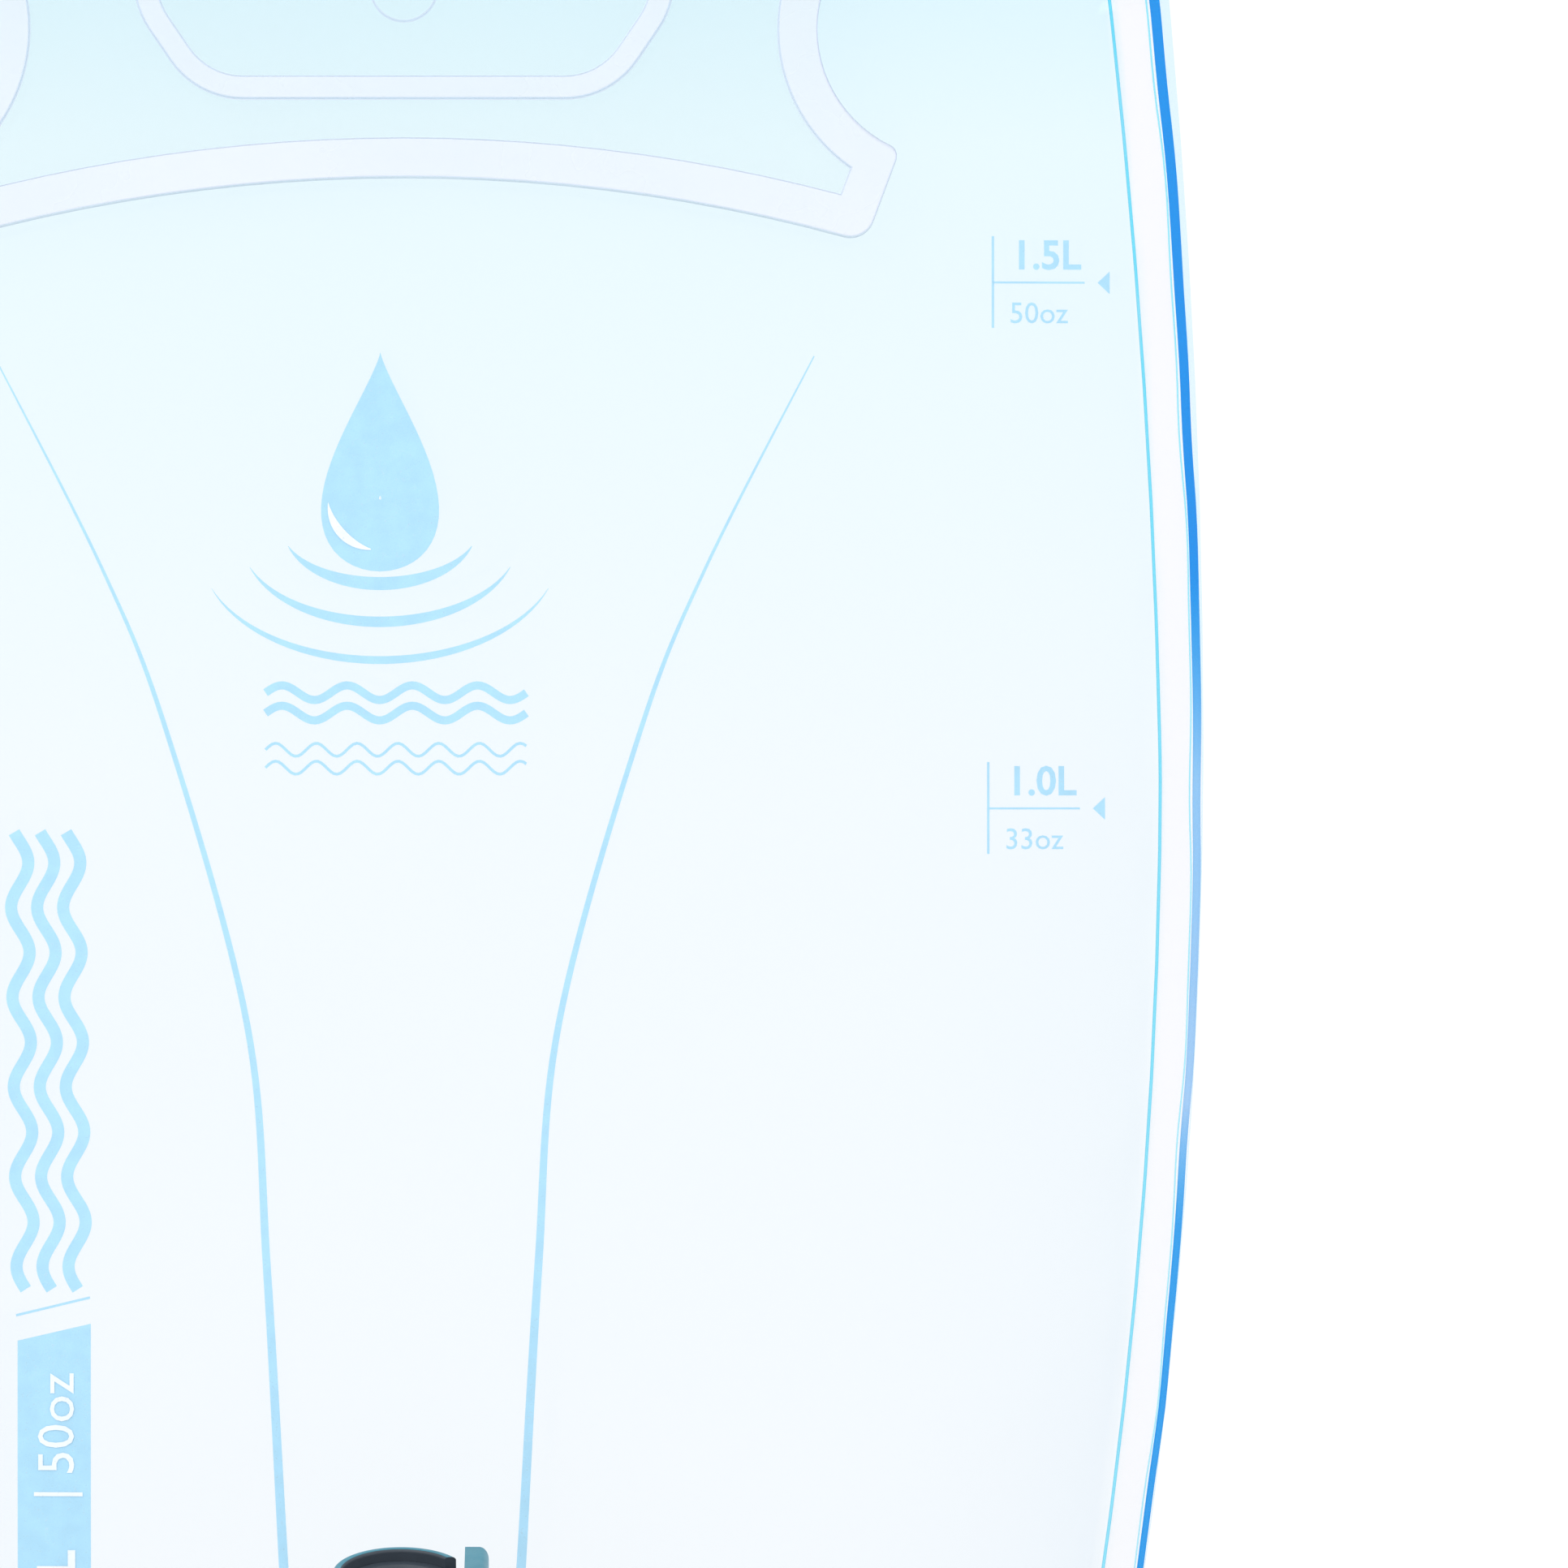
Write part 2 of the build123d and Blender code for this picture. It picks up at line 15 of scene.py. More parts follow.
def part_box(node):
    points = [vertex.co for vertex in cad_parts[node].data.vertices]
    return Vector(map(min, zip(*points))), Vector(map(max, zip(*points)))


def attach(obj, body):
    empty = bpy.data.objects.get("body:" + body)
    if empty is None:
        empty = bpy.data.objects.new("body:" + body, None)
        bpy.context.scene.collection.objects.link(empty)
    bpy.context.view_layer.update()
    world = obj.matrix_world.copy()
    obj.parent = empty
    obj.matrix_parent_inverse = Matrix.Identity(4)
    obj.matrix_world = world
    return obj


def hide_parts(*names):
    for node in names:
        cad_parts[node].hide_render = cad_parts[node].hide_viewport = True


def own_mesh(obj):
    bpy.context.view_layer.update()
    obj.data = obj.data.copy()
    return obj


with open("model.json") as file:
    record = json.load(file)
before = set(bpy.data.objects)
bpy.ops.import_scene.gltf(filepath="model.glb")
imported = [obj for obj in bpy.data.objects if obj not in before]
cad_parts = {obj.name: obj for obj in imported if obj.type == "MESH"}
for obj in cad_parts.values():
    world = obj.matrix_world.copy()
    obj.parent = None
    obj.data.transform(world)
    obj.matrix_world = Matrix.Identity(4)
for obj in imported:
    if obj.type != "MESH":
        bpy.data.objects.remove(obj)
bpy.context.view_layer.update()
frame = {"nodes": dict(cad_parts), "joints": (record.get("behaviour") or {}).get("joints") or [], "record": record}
MM = 0.001

# Places worked out from the frame
rail_low, rail_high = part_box("closure_rail")
RAIL_Z = (rail_low.z + rail_high.z) / 2
RAIL_RADIUS = (rail_high.z - rail_low.z) / 2
TOP_HALF_WIDTH = rail_high.x
SLIDER_FOOT_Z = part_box("slider_channel")[0].z
NECK_Z = SLIDER_FOOT_Z - 1.5 * MM
BOTTOM_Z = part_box("front_panel")[0].z
CORNER_Z = BOTTOM_Z + 14 * MM
WIDEST_Z = (NECK_Z + BOTTOM_Z) * 0.42
joints = {joint["name"]: joint for joint in frame["joints"]}
PORT = Vector(joints["elbow_swivel"]["pos_m"])
PORT_NORMAL = Vector(joints["elbow_swivel"]["axis"]).normalized()

# Sizes of the films: thickness, lip, weld, and the calm patch round the port
FILM = 0.5 * MM
SEAM_Y = -FILM - 0.1 * MM
LIP_END_Z = -33 * MM
LIP_LEAN = 4.5 * MM
WELD_WIDTH = 5.5 * MM
FLAT_PATCH = 19 * MM
CALM_PATCH = 24 * MM


# ---------------------------------------------------------------- materials
def new_material(name):
    """An empty node material and its output."""
    material = bpy.data.materials.new(name)
    material.use_nodes = True
    nodes = material.node_tree.nodes
    nodes.clear()
    output = nodes.new("ShaderNodeOutputMaterial")
    return material, nodes, material.node_tree.links, output


def noise(nodes, links, scale, detail=3.0, stretch=(1, 1, 1)):
    """Noise in the object's own space, in cells per metre."""
    place = nodes.new("ShaderNodeTexCoord")
    mapping = nodes.new("ShaderNodeMapping")
    mapping.inputs["Scale"].default_value = stretch
    texture = nodes.new("ShaderNodeTexNoise")
    texture.inputs["Scale"].default_value = scale
    texture.inputs["Detail"].default_value = detail
    links.new(place.outputs["Object"], mapping.inputs["Vector"])
    links.new(mapping.outputs["Vector"], texture.inputs["Vector"])
    return texture.outputs["Fac"]


def spread(nodes, links, value, low, high, out_low, out_high):
    """A value's range mapped to another, and held inside it."""
    node = nodes.new("ShaderNodeMapRange")
    node.inputs["From Min"].default_value = low
    node.inputs["From Max"].default_value = high
    node.inputs["To Min"].default_value = out_low
    node.inputs["To Max"].default_value = out_high
    links.new(value, node.inputs["Value"])
    return node.outputs["Result"]


def by_height(nodes, links, stops):
    """A colour that changes with the object's own Z, through (z, colour) stops from the top down."""
    place = nodes.new("ShaderNodeTexCoord")
    split = nodes.new("ShaderNodeSeparateXYZ")
    links.new(place.outputs["Object"], split.inputs["Vector"])
    z_top = stops[0][0]
    z_bottom = stops[-1][0]
    down = spread(nodes, links, split.outputs["Z"], z_top, z_bottom, 0, 1)
    ramp = nodes.new("ShaderNodeValToRGB")
    colours = ramp.color_ramp.elements
    while len(colours) < len(stops):
        colours.new(0.5)
    for element, (z, colour) in zip(colours, stops):
        element.position = (z_top - z) / (z_top - z_bottom)
        element.color = (*colour, 1)
    links.new(down, ramp.inputs["Fac"])
    return ramp.outputs["Color"]


def colour_mix(nodes, links, factor, second, blend="MIX"):
    """A colour mix by a factor, with its second colour set and its first still to come."""
    mix = nodes.new("ShaderNodeMix")
    mix.data_type = "RGBA"
    mix.blend_type = blend
    mix.inputs["B"].default_value = (*second, 1)
    links.new(factor, mix.inputs["Factor"])
    return mix


def blend_colours(nodes, links, factor, first, second):
    """A colour between two, by a factor."""
    mix = colour_mix(nodes, links, factor, second)
    mix.inputs["A"].default_value = (*first, 1)
    return mix.outputs["Result"]


def change_colour(nodes, links, factor, colour, second, blend="MIX"):
    """A colour made by other nodes, mixed with a second by a factor."""
    mix = colour_mix(nodes, links, factor, second, blend)
    links.new(colour, mix.inputs["A"])
    return mix.outputs["Result"]


def mix_shaders(nodes, links, factor, first, second):
    """A shader between two shader nodes, by a factor."""
    mix = nodes.new("ShaderNodeMixShader")
    links.new(factor, mix.inputs["Fac"])
    links.new(first.outputs[0], mix.inputs[1])
    links.new(second.outputs[0], mix.inputs[2])
    return mix


def bump(nodes, links, value, strength, distance):
    """A normal from a height pattern."""
    node = nodes.new("ShaderNodeBump")
    node.inputs["Strength"].default_value = strength
    node.inputs["Distance"].default_value = distance
    links.new(value, node.inputs["Height"])
    return node.outputs["Normal"]


SHINE_HEAD_ON = 0.035
SHINE_EDGE_ON = 0.85


def surface_shine(nodes, links):
    """How much a thin clear sheet reflects, the same from both sides: little head-on, more edge-on."""
    slant = nodes.new("ShaderNodeLayerWeight")
    slant.inputs["Blend"].default_value = 0.5
    power = nodes.new("ShaderNodeMath")
    power.operation = "POWER"
    power.inputs[1].default_value = 5
    links.new(slant.outputs["Facing"], power.inputs[0])
    return spread(nodes, links, power.outputs["Value"], 0, 1, SHINE_HEAD_ON, SHINE_EDGE_ON)


# Near white for the welded border: a painted highlight, with the film's tint taken away there
WELD_HIGHLIGHT_TINT = (0.99, 0.99, 0.995)
EDGE_ON_TINT = (0.70, 0.82, 0.94)


def clear_plastic(name, tints, body, veil, roughness, grain, relief):
    """Tinted clear plastic: a tint by height, deeper where seen edge-on, a thin veil and a gloss.

    It loses its tint to a near white where the mesh's weld_border attribute is 1, a painted highlight on the weld.
    """
    material, nodes, links, output = new_material(name)
    border = nodes.new("ShaderNodeAttribute")
    border.attribute_name = "weld_border"
    tint = by_height(nodes, links, tints)
    tint = change_colour(nodes, links, border.outputs["Fac"], tint, WELD_HIGHLIGHT_TINT)
    edge_on = nodes.new("ShaderNodeLayerWeight")
    edge_on.inputs["Blend"].default_value = 0.25
    tint = change_colour(nodes, links, edge_on.outputs["Facing"], tint, EDGE_ON_TINT, "MULTIPLY")
    through = nodes.new("ShaderNodeBsdfTransparent")
    links.new(tint, through.inputs["Color"])

    surface = nodes.new("ShaderNodeBsdfPrincipled")
    surface.inputs["IOR"].default_value = 1.5
    surface.inputs["Base Color"].default_value = (*body, 1)
    rough = spread(nodes, links, noise(nodes, links, 60), 0.3, 0.7, roughness, roughness + 0.12)
    links.new(rough, surface.inputs["Roughness"])
    ripples = bump(nodes, links, noise(nodes, links, grain, 2), 0.25, relief)
    links.new(ripples, surface.inputs["Normal"])
    cloud = spread(nodes, links, noise(nodes, links, 25, 4), 0.3, 0.7, veil * 0.8, veil * 1.2)
    veiled = mix_shaders(nodes, links, cloud, through, surface)

    gloss = nodes.new("ShaderNodeBsdfGlossy")
    links.new(rough, gloss.inputs["Roughness"])
    links.new(ripples, gloss.inputs["Normal"])
    glossy = mix_shaders(nodes, links, surface_shine(nodes, links), veiled, gloss)
    links.new(glossy.outputs["Shader"], output.inputs["Surface"])
    return material


def solid_plastic(name, colour, lighter, roughness, grain=900, strength=0.15, coat=0.0):
    """Moulded opaque plastic with slight mottling and a fine texture."""
    material, nodes, links, output = new_material(name)
    surface = nodes.new("ShaderNodeBsdfPrincipled")
    mottle = spread(nodes, links, noise(nodes, links, 120, 4), 0.35, 0.65, 0, 1)
    links.new(blend_colours(nodes, links, mottle, colour, lighter), surface.inputs["Base Color"])
    rough = spread(nodes, links, noise(nodes, links, 300), 0.3, 0.7, roughness, roughness + 0.15)
    links.new(rough, surface.inputs["Roughness"])
    texture = noise(nodes, links, grain, 2)
    links.new(bump(nodes, links, texture, strength, 0.2 * MM), surface.inputs["Normal"])
    surface.inputs["Coat Weight"].default_value = coat
    surface.inputs["IOR"].default_value = 1.5
    links.new(surface.outputs["BSDF"], output.inputs["Surface"])
    return material


def steel(name):
    """Drawn spring wire."""
    material, nodes, links, output = new_material(name)
    surface = nodes.new("ShaderNodeBsdfPrincipled")
    surface.inputs["Metallic"].default_value = 1
    shade = spread(nodes, links, noise(nodes, links, 800), 0.3, 0.7, 0, 1)
    grey = blend_colours(nodes, links, shade, (0.5, 0.5, 0.52), (0.68, 0.68, 0.7))
    links.new(grey, surface.inputs["Base Color"])
    surface.inputs["Roughness"].default_value = 0.25
    scratches = noise(nodes, links, 1500, 2, (1, 6, 6))
    links.new(bump(nodes, links, scratches, 0.1, 0.1 * MM), surface.inputs["Normal"])
    links.new(surface.outputs["BSDF"], output.inputs["Surface"])
    return material


def ink(name, colour):
    """Screen print: flat ink with pinholes and slightly uneven cover."""
    material, nodes, links, output = new_material(name)
    through = nodes.new("ShaderNodeBsdfTransparent")
    surface = nodes.new("ShaderNodeBsdfPrincipled")
    shade = spread(nodes, links, noise(nodes, links, 400, 4), 0.35, 0.65, 0, 1)
    paler = tuple(min(1, channel * 1.06) for channel in colour)
    links.new(blend_colours(nodes, links, shade, colour, paler), surface.inputs["Base Color"])
    surface.inputs["Roughness"].default_value = 0.5
    surface.inputs["Specular IOR Level"].default_value = 0.2
    full = 0.95
    cover = spread(nodes, links, noise(nodes, links, 2500, 2), 0.25, 0.4, full * 0.85, full)
    printed = mix_shaders(nodes, links, cover, through, surface)
    links.new(printed.outputs["Shader"], output.inputs["Surface"])
    return material


PALE_BODY = (0.86, 0.93, 1.0)
SOFT_RELIEF = 0.6 * MM
FINE_RELIEF = 0.1 * MM
film = clear_plastic(
    "clear_film",
    [
        (-20 * MM, (0.97, 0.995, 1.0)),
        (-34 * MM, (0.77, 0.92, 0.97)),
        (-52 * MM, (0.85, 0.95, 0.98)),
        (-130 * MM, (0.925, 0.95, 0.97)),
        (-290 * MM, (0.94, 0.95, 0.97)),
    ],
    PALE_BODY, veil=0.10, roughness=0.08, grain=35, relief=SOFT_RELIEF,
)
back_film = clear_plastic(
    "clear_film_back",
    [
        (-20 * MM, (0.97, 0.99, 1.0)),
        (-34 * MM, (0.94, 0.99, 1.0)),
        (-290 * MM, (0.985, 0.995, 1.0)),
    ],
    PALE_BODY, veil=0.07, roughness=0.08, grain=35, relief=SOFT_RELIEF,
)
moulding = clear_plastic(
    "clear_moulding", [(10 * MM, (0.98, 0.995, 1.0)), (-30 * MM, (0.98, 0.995, 1.0))],
    (0.88, 0.93, 1.0), veil=0.035, roughness=0.12, grain=120, relief=FINE_RELIEF,
)
grip_web = clear_plastic(
    "clear_web", [(-20 * MM, (0.985, 1.0, 1.0)), (-65 * MM, (0.99, 1.0, 1.0))],
    (0.86, 0.97, 1.0), veil=0.015, roughness=0.12, grain=120, relief=FINE_RELIEF,
)
# Painted light: the raised rim's whiter veil stands for the light its thickness refracts
rim_painted_light = clear_plastic(
    "rim_refracted_light", [(-20 * MM, (0.955, 0.94, 0.97)), (-65 * MM, (0.96, 0.945, 0.97))],
    (1.0, 0.96, 1.0), veil=0.32, roughness=0.2, grain=150, relief=FINE_RELIEF,
)
# Painted shade: the rounded edges of the rim are tinted darker, as thin dark outlines where light bends away at
# the rounds
rim_round_shade = clear_plastic(
    "rim_round_painted_shade", [(-20 * MM, (0.88, 0.89, 0.975)), (-65 * MM, (0.88, 0.89, 0.975))],
    (0.93, 0.90, 1.0), veil=0.25, roughness=0.2, grain=150, relief=FINE_RELIEF,
)
# Painted highlight: the weld band between the crease and the blue edge is nearly clear with a white veil, so it
# shows lighter than the film
weld_highlight = clear_plastic(
    "weld_band_painted_highlight", [(-20 * MM, (1.0, 0.995, 1.0)), (-290 * MM, (1.0, 0.998, 1.0))],
    (1.0, 0.99, 1.0), veil=0.05, roughness=0.3, grain=900, relief=FINE_RELIEF,
)
edge_blue = clear_plastic(
    "weld_edge_blue",
    [
        (-34 * MM, (0.0, 0.54, 0.93)),
        (-105 * MM, (0.01, 0.52, 0.92)),
        (-130 * MM, (0.60, 0.80, 0.97)),
        (-170 * MM, (0.68, 0.82, 0.97)),
        (-185 * MM, (0.16, 0.60, 0.93)),
        (-290 * MM, (0.12, 0.56, 0.92)),
    ],
    (0.0, 0.44, 0.90), veil=0.12, roughness=0.2, grain=200, relief=FINE_RELIEF,
)
crease_cyan = clear_plastic(
    "weld_crease_cyan", [(-30 * MM, (0.40, 0.90, 1.0)), (-290 * MM, (0.62, 0.93, 1.0))],
    (0.35, 0.85, 1.0), veil=0.1, roughness=0.2, grain=200, relief=FINE_RELIEF,
)
lip_pale = clear_plastic(
    "cut_edge_pale", [(-30 * MM, (0.80, 0.95, 1.0)), (-290 * MM, (0.90, 0.96, 1.0))],
    (0.78, 0.92, 1.0), veil=0.25, roughness=0.2, grain=200, relief=SOFT_RELIEF,
)
print_ink = ink("print_pale_blue", (0.40, 0.70, 0.90))
print_clear = ink("print_left_clear", (0.88, 0.94, 1.0))
teal = solid_plastic("teal_plastic", (0.03, 0.22, 0.30), (0.035, 0.25, 0.34), 0.3, coat=0.2)
dark = solid_plastic("dark_plastic", (0.045, 0.06, 0.08), (0.055, 0.072, 0.094), 0.42)
latch = solid_plastic("latch_plastic", (0.10, 0.12, 0.14), (0.12, 0.14, 0.16), 0.35)
white = solid_plastic("rail_plastic", (0.75, 0.82, 0.86), (0.8, 0.86, 0.9), 0.4)
rubber = solid_plastic(
    "black_rubber", (0.012, 0.012, 0.014), (0.02, 0.02, 0.022), 0.6, grain=600, strength=0.3
)
wire = steel("spring_wire")

NODE_FINISH = {
    "closure_rail": white,
    "slider_channel": moulding,
    "slider_end_cap": moulding,
    "port_flange": dark,
    "elbow_body": dark,
    "socket_liner": dark,
    "valve_seat": dark,
    "spring_retainer": dark,
    "poppet": dark,
    "socket_shell": teal,
    "release_button": teal,
    "latch_plate": latch,
    "poppet_seal": rubber,
    "spigot_o_ring": rubber,
    "socket_o_ring": rubber,
    "snap_ring": wire,
    "valve_spring": wire,
    "button_spring": wire,
}
for node, finish in NODE_FINISH.items():
    mesh = frame["nodes"][node].data
    mesh.materials.clear()
    mesh.materials.append(finish)

# The shell's bore is dark, like the liner in it
socket = next(mount for mount in frame["record"]["mounts"] if mount["name"] == "hose_socket")
socket_place = Vector(socket["pos_m"])
socket_axis = Vector(socket["axis"]).normalized()
shell = frame["nodes"]["socket_shell"].data
shell.materials.append(dark)
for face in shell.polygons:
    from_axis = face.center - socket_place
    from_axis -= socket_axis * from_axis.dot(socket_axis)
    if face.normal.dot(from_axis) < -0.5 * from_axis.length:
        face.material_index = 1


# ---------------------------------------------------------------- shape of the bag
def tree_of(piece):
    """A search tree of one object's surface."""
    return BVHTree.FromObject(piece, bpy.context.evaluated_depsgraph_get())


front_tree = tree_of(frame["nodes"]["front_panel"])
back_tree = tree_of(frame["nodes"]["back_panel"])


def edge_x(z):
    """Half the width of the bag at height z."""
    hit = front_tree.ray_cast(Vector((1, SEAM_Y - FILM / 2, z)), Vector((-1, 0, 0)))[0]
    return hit.x if hit else TOP_HALF_WIDTH


def film_y(side, x, z):
    """Outside face of the front film (side -1) or back film (side 1) at one place."""
    tree = front_tree if side < 0 else back_tree
    hit = tree.ray_cast(Vector((x, side, z)), Vector((0, -side, 0)))[0]
    return hit.y if hit else SEAM_Y + side * FILM


def near_port(side, x, z, reach):
    """Whether a place is within reach of the port, which is in the front film."""
    return side < 0 and hypot(x - PORT.x, z - PORT.z) < reach


def port_plane_y(z):
    """Where the flat patch round the port lies at height z."""
    return PORT.y - (z - PORT.z) * PORT_NORMAL.z / PORT_NORMAL.y


def steps(first, last, count):
    """Evenly spaced values, ends included."""
    return [first + (last - first) * i / (count - 1) for i in range(count)]


# Columns of the films as shares of the half width, closer together towards the sides
SIDE_COLUMNS = 56
half_across = [1 - (i / SIDE_COLUMNS) ** 1.6 for i in range(SIDE_COLUMNS, -1, -1)]
ACROSS = [-share for share in reversed(half_across[1:])] + half_across

# Rows of the films below the neck, closer together round the bottom corners
DOWN = steps(NECK_Z - 1 * MM, CORNER_Z, 110)
DOWN += steps(CORNER_Z - 0.6 * MM, BOTTOM_Z + 0.1 * MM, 26)


def smooth(grid, rounds, keep):
    """Evens out a grid of heights, but not where keep says so."""
    rows = len(grid)
    columns = len(grid[0])
    for _ in range(rounds):
        before = [row[:] for row in grid]
        for i in range(1, rows - 1):
            for j in range(1, columns - 1):
                if not keep[i][j]:
                    around = before[i - 1][j] + before[i + 1][j]
                    around += before[i][j - 1] + before[i][j + 1]
                    grid[i][j] = 0.5 * before[i][j] + 0.125 * around


def film_grid(side):
    """The film's face below the neck, as rows of places (x, z) and rows of their y."""
    places = []
    heights = []
    keep = []
    for z in DOWN:
        half = edge_x(z) - 0.05 * MM
        row = [(share * half, z) for share in ACROSS]
        ys = []
        fixed = []
        for x, _ in row:
            on_patch = near_port(side, x, z, FLAT_PATCH)
            by_weld = half - abs(x) < WELD_WIDTH + 1.5 * MM
            ys.append(port_plane_y(z) if on_patch else film_y(side, x, z))
            fixed.append(by_weld or near_port(side, x, z, FLAT_PATCH + 0.5 * MM))
        places.append(row)
        heights.append(ys)
        keep.append(fixed)
    smooth(heights, 40, keep)
    return places, heights


def pucker(x, z, half):
    """Small ripples that run in from the weld, soft creases below the closure, and a slow swell."""
    inward = half - abs(x) - WELD_WIDTH
    if inward < 0:
        return 0
    along = z / (11 * MM) + (0.7 if x > 0 else 0)
    ripple = 0.22 * MM * sin(pi * along + 1.7 * sin(0.9 * along))
    ripple *= exp(-inward / (9 * MM)) * min(1, inward / (2 * MM))
    below = NECK_Z - z
    crease = 0.25 * MM * sin(x / (8.5 * MM) + 0.8 * sin(x / (21 * MM)))
    crease *= exp(-below / (16 * MM)) * min(1, below / (3 * MM)) * min(1, inward / (6 * MM))
    swell = 0.35 * MM * sin(x / (19 * MM) + z / (31 * MM)) * sin(z / (23 * MM) - x / (47 * MM))
    swell *= min(1, inward / (18 * MM))
    return ripple + crease + swell


def wrap_path(side):
    """The film's way from its lip behind, over the rail, to the neck: (y, z) points."""
    layers = 1.6 if side < 0 else 0.5
    radius = RAIL_RADIUS + layers * FILM
    off = 0.35 * MM
    if side < 0:
        off += FILM + 0.1 * MM
    lip_top = SLIDER_FOOT_Z - 1 * MM
    points = []
    for z in steps(LIP_END_Z, lip_top, 8):
        share = (lip_top - z) / (lip_top - LIP_END_Z)
        points.append((off + LIP_LEAN * share, z))
    reach = atan2(off, radius)
    for angle in steps(-pi / 2 + reach, 3 * pi / 2 - reach, 25):
        points.append((radius * cos(angle), RAIL_Z + radius * sin(angle)))
    points.append((-off, NECK_Z + 1.5 * MM))
    return points


def add_piece(name, mesh, body):
    """A piece that rides on a body."""
    piece = bpy.data.objects.new(name, mesh)
    bpy.context.collection.objects.link(piece)
    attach(piece, body)
    return piece


def bag_piece(name, points, faces, material):
    """A smooth piece of the bag, from its points and faces."""
    mesh = bpy.data.meshes.new(name)
    mesh.from_pydata(points, [], faces)
    mesh.materials.append(material)
    mesh.validate()
    for polygon in mesh.polygons:
        polygon.use_smooth = True
    return add_piece(name, mesh, "bag")


def grid_faces(rows, columns, flip=False):
    """Quads of a grid of points stored row by row."""
    faces = []
    for i in range(rows - 1):
        for j in range(columns - 1):
            a = i * columns + j
            quad = (a, a + 1, a + columns + 1, a + columns)
            faces.append(quad[::-1] if flip else quad)
    return faces


# Cut edge of the bag, down one side, along the bottom and up the other
outline = [Vector((edge_x(z), z)) for z in steps(NECK_Z - 0.5 * MM, CORNER_Z, 90)]
outline += [Vector((edge_x(z), z)) for z in steps(CORNER_Z - 0.4 * MM, BOTTOM_Z + 0.05 * MM, 30)]
outline += [Vector((x, BOTTOM_Z)) for x in steps(outline[-1].x - 2 * MM, 0, 24)]
outline += [Vector((-place.x, place.y)) for place in reversed(outline[:-1])]


def along_edge(z, top, middle, bottom):
    """A size at height z that changes evenly from the neck to the widest place to the bottom."""
    if z > WIDEST_Z:
        share = (NECK_Z - z) / (NECK_Z - WIDEST_Z)
        return top + (middle - top) * min(1, share)
    share = (WIDEST_Z - z) / (WIDEST_Z - BOTTOM_Z)
    return middle + (bottom - middle) * min(1, share)


# How far in from the cut edge the weld's crease runs: at the neck, the widest place, the bottom
CREASE_IN = (7.8 * MM, 5.5 * MM, 5.2 * MM)
CREASE_OUT = (7.4 * MM, 5.1 * MM, 4.8 * MM)


def mark_weld_border(mesh):
    """Stores on each point of a film whether it is in the welded border."""
    tree = KDTree(len(outline))
    for i, place in enumerate(outline):
        tree.insert((place.x, 0, place.y), i)
    tree.balance()
    border = mesh.attributes.new("weld_border", "FLOAT", "POINT")
    for vertex in mesh.vertices:
        x, _, z = vertex.co
        from_edge = tree.find((x, 0, z))[2]
        welded = (along_edge(z, *CREASE_OUT) + 0.4 * MM - from_edge) / (0.8 * MM)
        below_neck = (NECK_Z - 1 * MM - z) / (6 * MM)
        border.data[vertex.index].value = max(0, min(1, welded, below_neck))


def film_piece(name, side, material, node):
    """One film: its lip, its wrap round the rail, and the filled face."""
    points = []
    wrap = wrap_path(side)
    for y, z in wrap:
        below = max(0, RAIL_Z - 8 * MM - z)
        for share in ACROSS:
            x = share * (TOP_HALF_WIDTH - 0.05 * MM)
            lip_wave = 0.6 * MM * sin(x / (17 * MM)) * below / (16 * MM) if y > 0 else 0
            points.append((x, y + lip_wave, z))
    places, heights = film_grid(side)
    for row, ys in zip(places, heights):
        half = abs(row[0][0])
        for (x, z), y in zip(row, ys):
            calm = near_port(side, x, z, CALM_PATCH)
            points.append((x, y + (0 if calm else side * pucker(x, z, half)), z))
    faces = grid_faces(len(wrap) + len(places), len(ACROSS), side > 0)
    piece = bag_piece(name, points, faces, material)
    mark_weld_border(piece.data)
    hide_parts(node)
    return piece


front_film = film_piece("front_film", -1, film, "front_panel")
film_piece("back_film", 1, back_film, "back_panel")


# ---------------------------------------------------------------- grip plate
def rounded_mesh(name, node, radius):
    """A CAD node's mesh with its sharp edges rounded; the rounds get material slot 1."""
    shape = bmesh.new()
    shape.from_mesh(frame["nodes"][node].data)
    bmesh.ops.remove_doubles(shape, verts=shape.verts, dist=0.002 * MM)
    bmesh.ops.dissolve_limit(shape, angle_limit=radians(0.5), verts=shape.verts, edges=shape.edges)
    sharp = radians(35)
    edges = [edge for edge in shape.edges if edge.is_manifold and edge.calc_face_angle() > sharp]
    bmesh.ops.bevel(
        shape, geom=edges, offset=radius, segments=3, affect="EDGES", profile=0.5,
        clamp_overlap=True, material=1,
    )
    mesh = bpy.data.meshes.new(name)
    shape.to_mesh(mesh)
    shape.free()
    for polygon in mesh.polygons:
        polygon.use_smooth = polygon.material_index == 1
    return mesh


grip_mesh = rounded_mesh("grip_plate_rounded", "grip_plate", 0.7 * MM)
for finish in (grip_web, rim_round_shade, rim_painted_light):
    grip_mesh.materials.append(finish)
grip = add_piece("grip_plate_rounded", grip_mesh, "slider")
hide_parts("grip_plate")

# The raised rim has painted light, a whiter veil for the light the thick rim refracts; the web behind it is clear
front_faces = [
    face for face in grip_mesh.polygons
    if face.normal.y < -0.9 and face.center.z < SLIDER_FOOT_Z and face.material_index == 0
]
outward = max(front_faces, key=lambda face: face.area).normal
web_level = min(face.center.dot(outward) for face in front_faces)
for face in front_faces:
    if face.center.dot(outward) > web_level + 0.8 * MM:
        face.material_index = 2


# ---------------------------------------------------------------- springs
def squashed_spring(node):
    """A spring's own copy of its mesh, riding on the elbow."""
    mesh = frame["nodes"][node].data.copy()
    piece = add_piece(node + "_coil", mesh, "elbow")
    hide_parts(node)
    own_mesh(piece)


